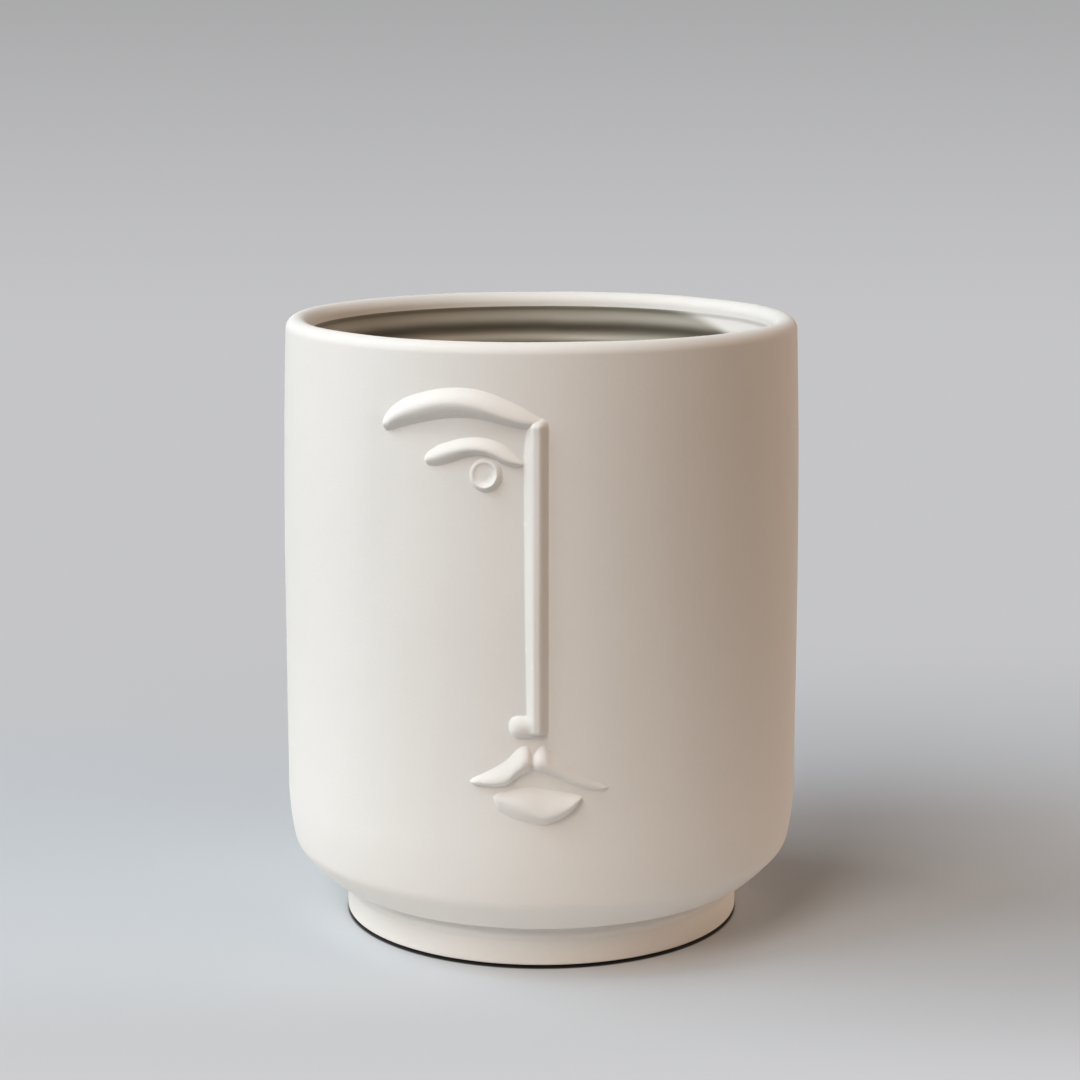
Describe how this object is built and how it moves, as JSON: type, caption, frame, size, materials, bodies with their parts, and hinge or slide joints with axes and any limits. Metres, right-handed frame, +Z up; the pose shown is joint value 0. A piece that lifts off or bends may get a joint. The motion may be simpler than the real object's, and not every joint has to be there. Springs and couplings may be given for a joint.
{
  "type": "head planter",
  "caption": "Straight-walled ceramic pot on a ring foot, with half a stylised face in low relief on its front and a drain hole in its floor.",
  "frame": {"origin": "on the pot's axis, on the surface that it stands on", "axes": "+Z up along the pot's axis; the face looks towards -Y, so +X is to the right of someone who looks at it"},
  "size_m": [0.1274, 0.1295, 0.1504],
  "materials": {
    "clay": "matte, unglazed off-white stoneware with a fine dry tooth",
    "glaze": "soft satin clear glaze over the same clay"
  },
  "bodies": {
    "root": {"pot_body": "clay", "foot_ring": "clay", "brow": "clay", "nose": "clay", "eyelid": "clay", "iris": "clay", "upper_lip": "clay", "lower_lip": "clay", "glaze_lining": "glaze"}
  },
  "joints": []
}
